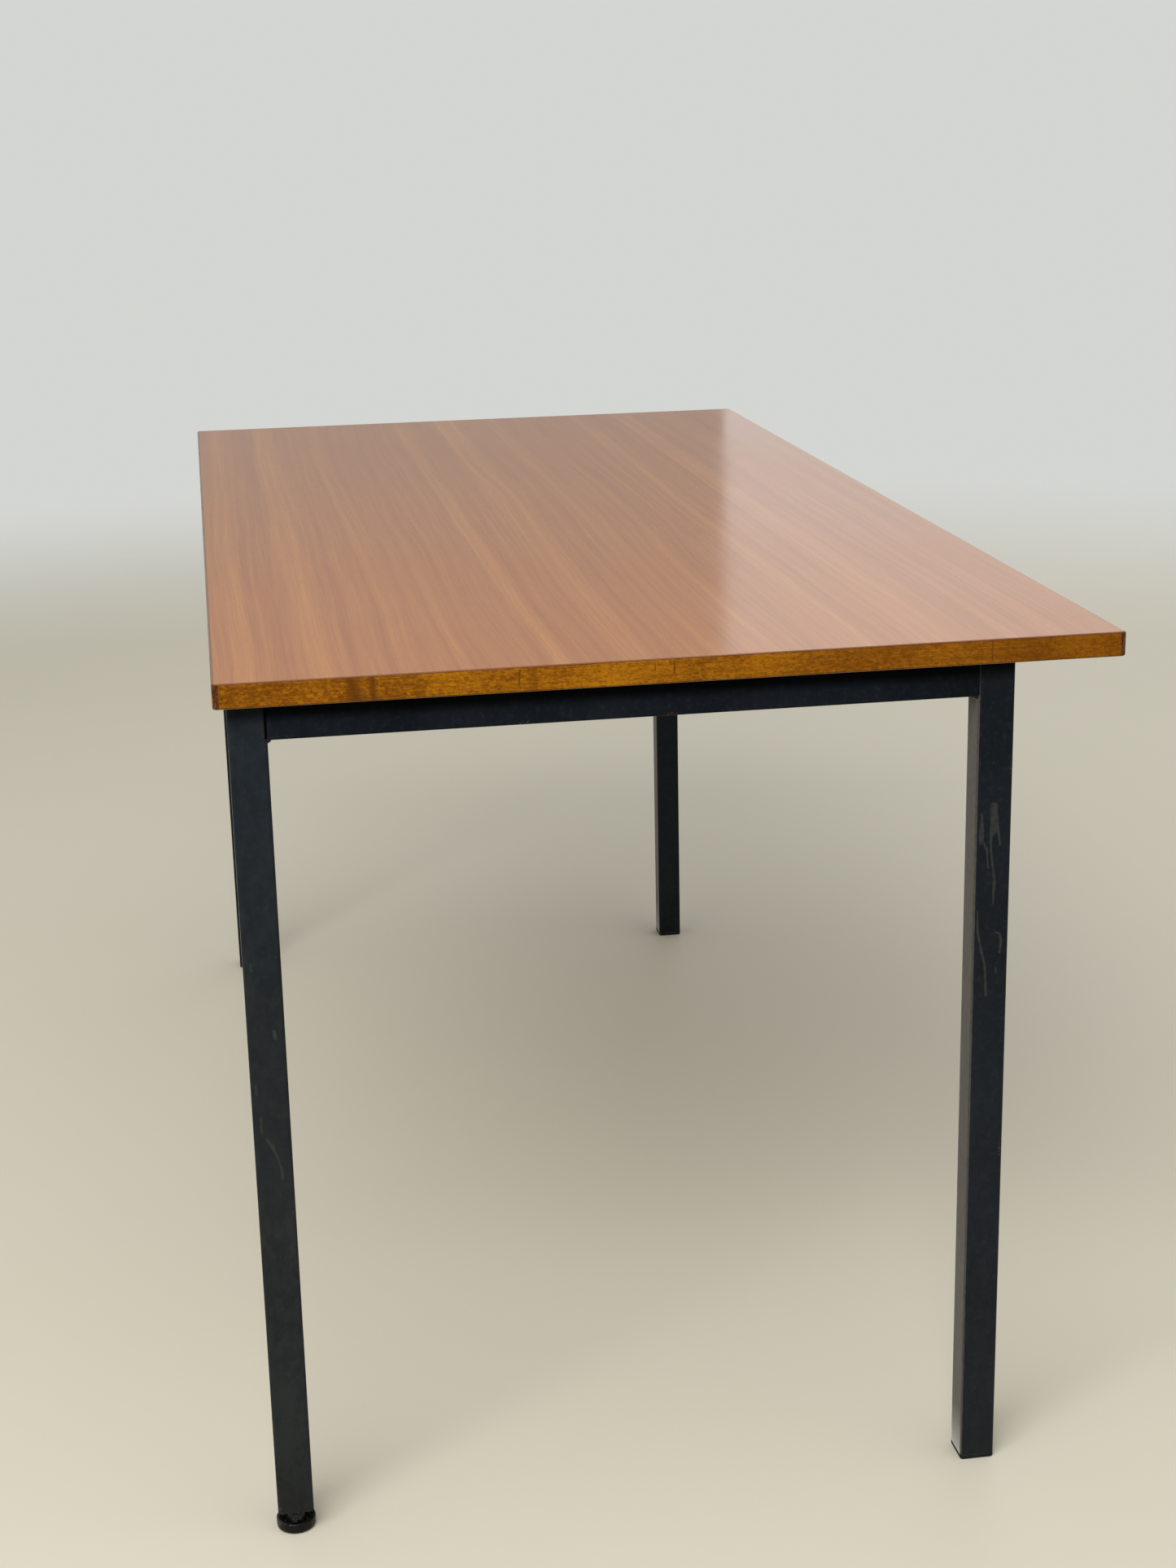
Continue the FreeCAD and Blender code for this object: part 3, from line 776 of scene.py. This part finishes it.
def bead_loops(start, run, first, second, leg, seed):
    """A bead along a run, in the corner between two directions: each loop is the corner and a bulging arc
    from one face to the other, whose size rises and falls with the ripples of the weld pool."""
    length = np.linalg.norm(run)
    steps = max(int(length / bead_step), 8)
    along = np.linspace(0, 1, steps)
    pool = 0.86 + 0.14 * np.abs(np.sin(along * length / ripple * math.pi + seed))
    pool = pool + 0.10 * waver(along * length, seed, 0.004, 0.02)
    taper = np.sqrt(np.clip(1 - np.abs(along * 2 - 1) ** 6, 0.02, 1))
    reach = leg * np.clip(pool * taper, 0.05, 1.05)
    turn = np.linspace(0, math.pi / 2, 7)
    ring = np.stack([np.cos(turn), np.sin(turn)], axis=1) * bulge
    ring[0], ring[-1] = (1, 0), (0, 1)
    arc = first * ring[:, :1] + second * ring[:, 1:]
    corner = (start + along[:, None] * run)[:, None]
    grid = np.concatenate([corner, corner + arc * reach[:, None, None]], axis=1)
    if np.dot(np.cross(first, second), run) < 0:
        grid = grid[:, ::-1]
    return grid


def joined_loops(name, grids, material):
    """Several capped surfaces of loops as one piece."""
    faces, offset = [], 0
    for grid in grids:
        faces += loop_faces(*grid.shape[:2], offset)
        offset += grid.shape[0] * grid.shape[1]
    points = np.concatenate([grid.reshape(-1, 3) for grid in grids])
    return mesh_piece(name, points, faces, material, smooth_angle=50)


bead_enamel = enamel("blue_black_enamel_on_welds", burnt=True)
flat_half = half_tube - tube_radius
weld_leg = 0.004
x_axis, y_axis, z_axis = np.eye(3)
frame_beads = []
for number, corner in enumerate(("front_left", "front_right", "rear_left", "rear_right")):
    low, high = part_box(f"leg_{corner}")
    into_x = x_axis * (1 if "left" in corner else -1)
    into_y = y_axis * (1 if "front" in corner else -1)
    under = np.array([(low.x + high.x) / 2, (low.y + high.y) / 2, rail_under])
    runs = ((under + z_axis * tube_radius + (into_x + into_y) * half_tube, z_axis, into_x, into_y),
            (under + into_x * half_tube - y_axis * flat_half, y_axis, into_x, -z_axis),
            (under + into_y * half_tube - x_axis * flat_half, x_axis, into_y, -z_axis))
    for order, (start, way, first, second) in enumerate(runs, 1):
        run = way * 2 * flat_half
        frame_beads.append(bead_loops(start, run, first, second, weld_leg, number * 3 + order))
welds = joined_loops("weld_beads_frame", frame_beads, bead_enamel)

lug_weld = 0.003
lug_beads = []
inwards_from = {"front": y_axis, "rear": -y_axis, "left": x_axis, "right": -x_axis}
lug_names = [node for node in sorted(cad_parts)
             if node.startswith("lug_") and node.split("_")[1] in inwards_from]
for number, node in enumerate(lug_names):
    low, high = (np.array(corner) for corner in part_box(node))
    side = node.split("_")[1]
    inward = inwards_from[side]
    sideways = x_axis if side in ("front", "rear") else y_axis
    middle = (low + high) / 2
    on_rail = middle - inward * (np.abs(inward) @ (high - low)) / 2
    on_rail[2] = low[2] + lug_weld
    rise = z_axis * (high[2] - low[2] - 3 * lug_weld)
    for end in (-1, 1):
        corner = on_rail + sideways * end * (np.abs(sideways) @ (high - low)) / 2
        lug_beads.append(bead_loops(corner, rise, inward, sideways * end, lug_weld, 40 + 2 * number + end))
lug_welds = joined_loops("weld_beads_lugs", lug_beads, bead_enamel)
bead_wear = 0.35
for piece in (welds, lug_welds):
    paint_values(piece, "arris", bead_wear)
    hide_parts("weld_beads")
    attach(piece, "desk")

# --------------------
# Lugs and their screws: short lengths of steel angle, enamelled with the frame, and zinc-plated pan-head
# screws with washers, which hold the board down.
for node in lug_names:
    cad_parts[node].material_slots[0].material = frame_enamel


def zinc_material(name, dulled):
    """Zinc plate on steel: grey with a faint yellow bloom, darkened to near black over the dulled share:
    tarnished zinc on the screws, painted shade on the glide stem.
    """
    made, shader, place = new_material(name)
    bloom = noise(place, 160.0, 3.0, 0.6)
    fine = noise(place, 1400.0, 2.0)
    colour = tint(fade(bloom, 0.35, 0.68), (0.50, 0.49, 0.46), (0.66, 0.66, 0.65))
    stained = noise(place, 420.0, 3.0, 0.65)
    # Over the dulled share the zinc goes dark: tarnished where little is dulled, painted shade where nearly
    # all is.
    tarnish_and_shade = fade(stained, 0.62 - 0.4 * dulled, 0.74 - 0.3 * dulled, 0.0, dulled)
    colour = tint(tarnish_and_shade, colour, (0.018, 0.015, 0.012))
    roughness = plus(fade(bloom, 0.3, 0.7, 0.30, 0.46), times(tarnish_and_shade, 0.35))
    metal = calc("SUBTRACT", 1.0, times(tarnish_and_shade, 0.6))
    join(shader, Base_Color=colour, Roughness=roughness, Metallic=metal,
         Normal=relief(fine, 0.00002, 0.5))
    return made


zinc = zinc_material("zinc_plate", 0.3)
for node in ("lug_screws", "lug_washers"):
    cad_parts[node].material_slots[0].material = zinc


# --------------------
# Foot plugs: black polyethylene mouldings pushed into three of the legs, with a collar the size of the tube
# whose sole is scuffed round by the floor.
def plastic(name, dark, pale, gloss_low, gloss_high, texture, dusty):
    """Moulded black plastic: a fine skin, rubbed paler along its edges, with dust in the low places."""
    made, shader, place = new_material(name)
    skin = noise(place, texture, 2.0, 0.6)
    scuffs = fade(noise(stretched(place, (160, 160, 700)), 1.0, 4.0, 0.7), 0.50, 0.72)
    colour = tint(times(scuffs, 0.5), dark, pale)
    rub = worn(place, 0.32)
    colour = tint(times(rub, 0.5), colour, (0.060, 0.057, 0.052))
    dust = fade(noise(place, 60.0, 4.0, 0.7), 0.50, 0.70, 0.0, dusty)
    colour = tint(dust, colour, (0.055, 0.052, 0.045))
    roughness = plus(fade(skin, 0.3, 0.7, gloss_low, gloss_high), times(dust, 0.3))
    join(shader, Base_Color=colour, Roughness=roughness, Specular_IOR_Level=0.15,
         Normal=relief(skin, 0.00003, 0.5))
    return made


plug_plastic = plastic("black_polyethylene", (0.0060, 0.0062, 0.0068), (0.016, 0.016, 0.015),
                       0.42, 0.58, 900.0, 0.30)
sole_radius, fin, mould_radius = 0.0015, 0.0012, 0.0005
for corner in ("front_left", "front_right", "rear_right"):
    low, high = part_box(f"foot_plug_{corner}")
    collar_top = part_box(f"leg_{corner}")[0].z
    angles = np.linspace(0, math.pi / 2, 6)
    # The sole: a flat rim round a shallow dished middle, then the rounded lower edge, the collar's side and
    # its top, and the spigot with three grip fins inside the tube.
    insets = np.concatenate([[0.0095, 0.0080, 0.0078, 0.0040], sole_radius * (1 - np.sin(angles)),
                             [0.0, 0.00015, 0.0005]])
    heights = np.concatenate([[0.0006, 0.0006, 0.0, 0.0], sole_radius * (1 - np.cos(angles)),
                              [collar_top - 0.0002, collar_top, collar_top]])
    pitch = (high.z - collar_top) / 4
    for number in range(3):
        fin_base = collar_top + pitch * number + pitch / 2
        insets = np.append(insets, [0.0032, 0.0016, 0.0016, 0.0032])
        heights = np.append(heights, [fin_base, fin_base + fin * 0.3, fin_base + fin, fin_base + fin])
    insets = np.append(insets, [0.0032, 0.0036, 0.0048])
    heights = np.append(heights, [high.z - 0.0006, high.z, high.z])
    # Further in, the corners grow sharper, down to the mould's smallest radius.
    sizes = [(half_tube - inset, max(tube_radius - inset, mould_radius)) for inset in insets]
    plan = np.stack([rounded_loop(size, size, radius, tube_steps, tube_size)[0] for size, radius in sizes])
    plan = plan + ((low.x + high.x) / 2, (low.y + high.y) / 2)
    plug = loops(f"push_in_plug_{corner}", at_heights(plan, heights), plug_plastic, smooth_angle=40)
    edge = ((insets > 0.0001) & (insets < sole_radius) & (heights < collar_top)).astype(float)
    paint_values(plug, "arris", np.repeat(edge, plan.shape[1]))
    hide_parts(f"foot_plug_{corner}")
    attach(plug, "desk")


# --------------------
# Screw glide: under the short leg a steel plate is welded into the tube's end with a nut on it, and an M8
# stem turns in them. Its spigot turns in a glossy nylon pad like a shallow cup.
pad_low, pad_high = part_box("glide_pad")
stem_low, stem_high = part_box("glide_stem")
nut_low, nut_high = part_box("glide_nut")
axis_point = ((pad_low.x + pad_high.x) / 2, (pad_low.y + pad_high.y) / 2)
round_steps = 96


def turned(outline, radius_at=None):
    """The outline of radius and height carried round the glide's upright axis. A function of
    outline and angles may give the radius."""
    outline = np.asarray(outline, float)
    angles = np.arange(round_steps) * 2 * math.pi / round_steps
    round_way = np.stack([np.cos(angles), np.sin(angles)], axis=1)
    radius = radius_at(outline, angles) if radius_at else outline[:, :1]
    return at_heights(round_way * radius[..., None] + axis_point, outline[:, 1])


across_flats = 0.013


def hexagon_radius(outline, angles):
    """A hexagon's radius at each angle, rounded off where the turned outline is smaller."""
    flat = across_flats / 2 / np.cos((angles + math.pi / 6) % (math.pi / 3) - math.pi / 6)
    return np.minimum(flat, outline[:, :1])


glide_nylon = plastic("glossy_black_nylon", (0.0030, 0.0032, 0.0035), (0.0065, 0.0065, 0.0065),
                      0.20, 0.34, 500.0, 0.06)

pad_radius = (pad_high.x - pad_low.x) / 2
base_round, rim_round = 0.003, 0.0012
quarter = np.linspace(0, math.pi / 2, 9)
hub_top, hub_radius = 0.0070, 0.0075
recess_floor, recess_radius = 0.0044, pad_radius - 0.003
socket_radius, socket_floor = 0.00305, hub_top - 0.00455
pad_outline = np.concatenate([
    [[0.0006, 0.0004], [0.0110, 0.0004], [0.0113, 0.0]],
    np.stack([pad_radius - base_round * (1 - np.sin(quarter)), base_round * (1 - np.cos(quarter))], 1),
    np.stack([pad_radius - rim_round * (1 - np.cos(quarter)),
              pad_high.z - rim_round * (1 - np.sin(quarter))], 1),
    [[recess_radius + 0.0004, pad_high.z], [recess_radius, pad_high.z - 0.0005],
     [recess_radius, recess_floor + 0.0008], [recess_radius - 0.0008, recess_floor],
     [hub_radius + 0.0008, recess_floor], [hub_radius, recess_floor + 0.0008],
     [hub_radius, hub_top - 0.0004], [hub_radius - 0.0004, hub_top],
     [socket_radius + 0.0004, hub_top], [socket_radius, hub_top - 0.0004],
     [socket_radius, socket_floor], [0.0006, socket_floor]]])
pad = loops("nylon_glide_pad", turned(pad_outline), glide_nylon, smooth_angle=40)
on_rim = (np.abs(pad_outline[:, 0] - pad_radius) < rim_round) & (pad_outline[:, 1] > 0.006)
paint_values(pad, "arris", np.repeat(on_rim.astype(float), round_steps))
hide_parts("glide_pad")
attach(pad, "glide")

chamfer, face_radius = 0.00745, 0.0062
thread_pitch, thread_depth, stem_radius = 0.00125, 0.0007, 0.004
levels_per_turn = 10
collar_low, collar_high = hub_top + 0.00005, hub_top + 0.00505
collar_outline = [(face_radius, collar_low), (chamfer, collar_low + 0.0006),
                  (chamfer, collar_high - 0.0006), (face_radius, collar_high)]
spigot_outline = [(0.0024, stem_low.z), (0.0030, stem_low.z + 0.0006), (0.0030, collar_low)]
# Painted shade: the stem is dulled almost all over to near black, as it lies in the leg's shadow inside the
# pad's cup.
stem_zinc_painted_dark = zinc_material("zinc_plate_on_stem_painted_dark", 0.93)
spigot_grid = turned(spigot_outline)
collar_grid = turned(collar_outline, hexagon_radius)


def thread_radius(outline, angles):
    """A right-hand thread: the radius falls and rises with the height less the turn, once a pitch, and the
    first and last turns run out."""
    height = outline[:, 1:]
    phase = (height / thread_pitch - angles / (2 * math.pi)) % 1
    flank = np.clip(np.abs(phase * 2 - 1) * 1.35 - 0.12, 0, 1)
    run_out = np.clip((height - collar_high) / 0.0015, 0, 1)
    lead = np.clip((stem_high.z - height) / 0.0012, 0, 1)
    crest = stem_radius - 0.0009 * (1 - lead)
    return crest - thread_depth * flank * run_out * lead


thread_heights = np.arange(collar_high, stem_high.z, thread_pitch / levels_per_turn)
thread_line = np.stack([np.full(len(thread_heights), stem_radius), thread_heights], axis=1)
thread_grid = turned(thread_line, thread_radius)
stem = loops("threaded_glide_stem", np.concatenate([spigot_grid, collar_grid, thread_grid]), stem_zinc_painted_dark)
paint_values(stem, "arris", 0.0)
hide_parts("glide_stem")
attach(stem, "stem")

nut_bore, lead_in = stem_radius + 0.00005, 0.0004
nut_outline = [(nut_bore + lead_in, nut_low.z), (face_radius, nut_low.z), (chamfer, nut_low.z + 0.0007),
               (chamfer, nut_high.z - 0.0007), (face_radius, nut_high.z), (nut_bore + lead_in, nut_high.z),
               (nut_bore, nut_high.z - lead_in), (nut_bore, nut_low.z + lead_in)]
nut = loops("captive_glide_nut", turned(nut_outline, hexagon_radius), zinc, closed=True)
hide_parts("glide_nut")
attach(nut, "desk")

bare_steel, shader, place = new_material("ground_mild_steel")
grinding = noise(stretched(place, (300, 2200, 300)), 1.0, 2.0)
rust = fade(noise(place, 240.0, 4.0, 0.65), 0.48, 0.66)
colour = tint(fade(grinding, 0.3, 0.7), (0.20, 0.19, 0.18), (0.36, 0.35, 0.33))
colour = tint(times(rust, 0.8), colour, (0.13, 0.055, 0.022))
metal = calc("SUBTRACT", 1.0, times(rust, 0.85))
join(shader, Base_Color=colour, Metallic=metal, Roughness=fade(rust, 0.0, 1.0, 0.38, 0.80),
     Normal=relief(grinding, 0.00003, 0.6))
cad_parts["glide_plate"].material_slots[0].material = bare_steel
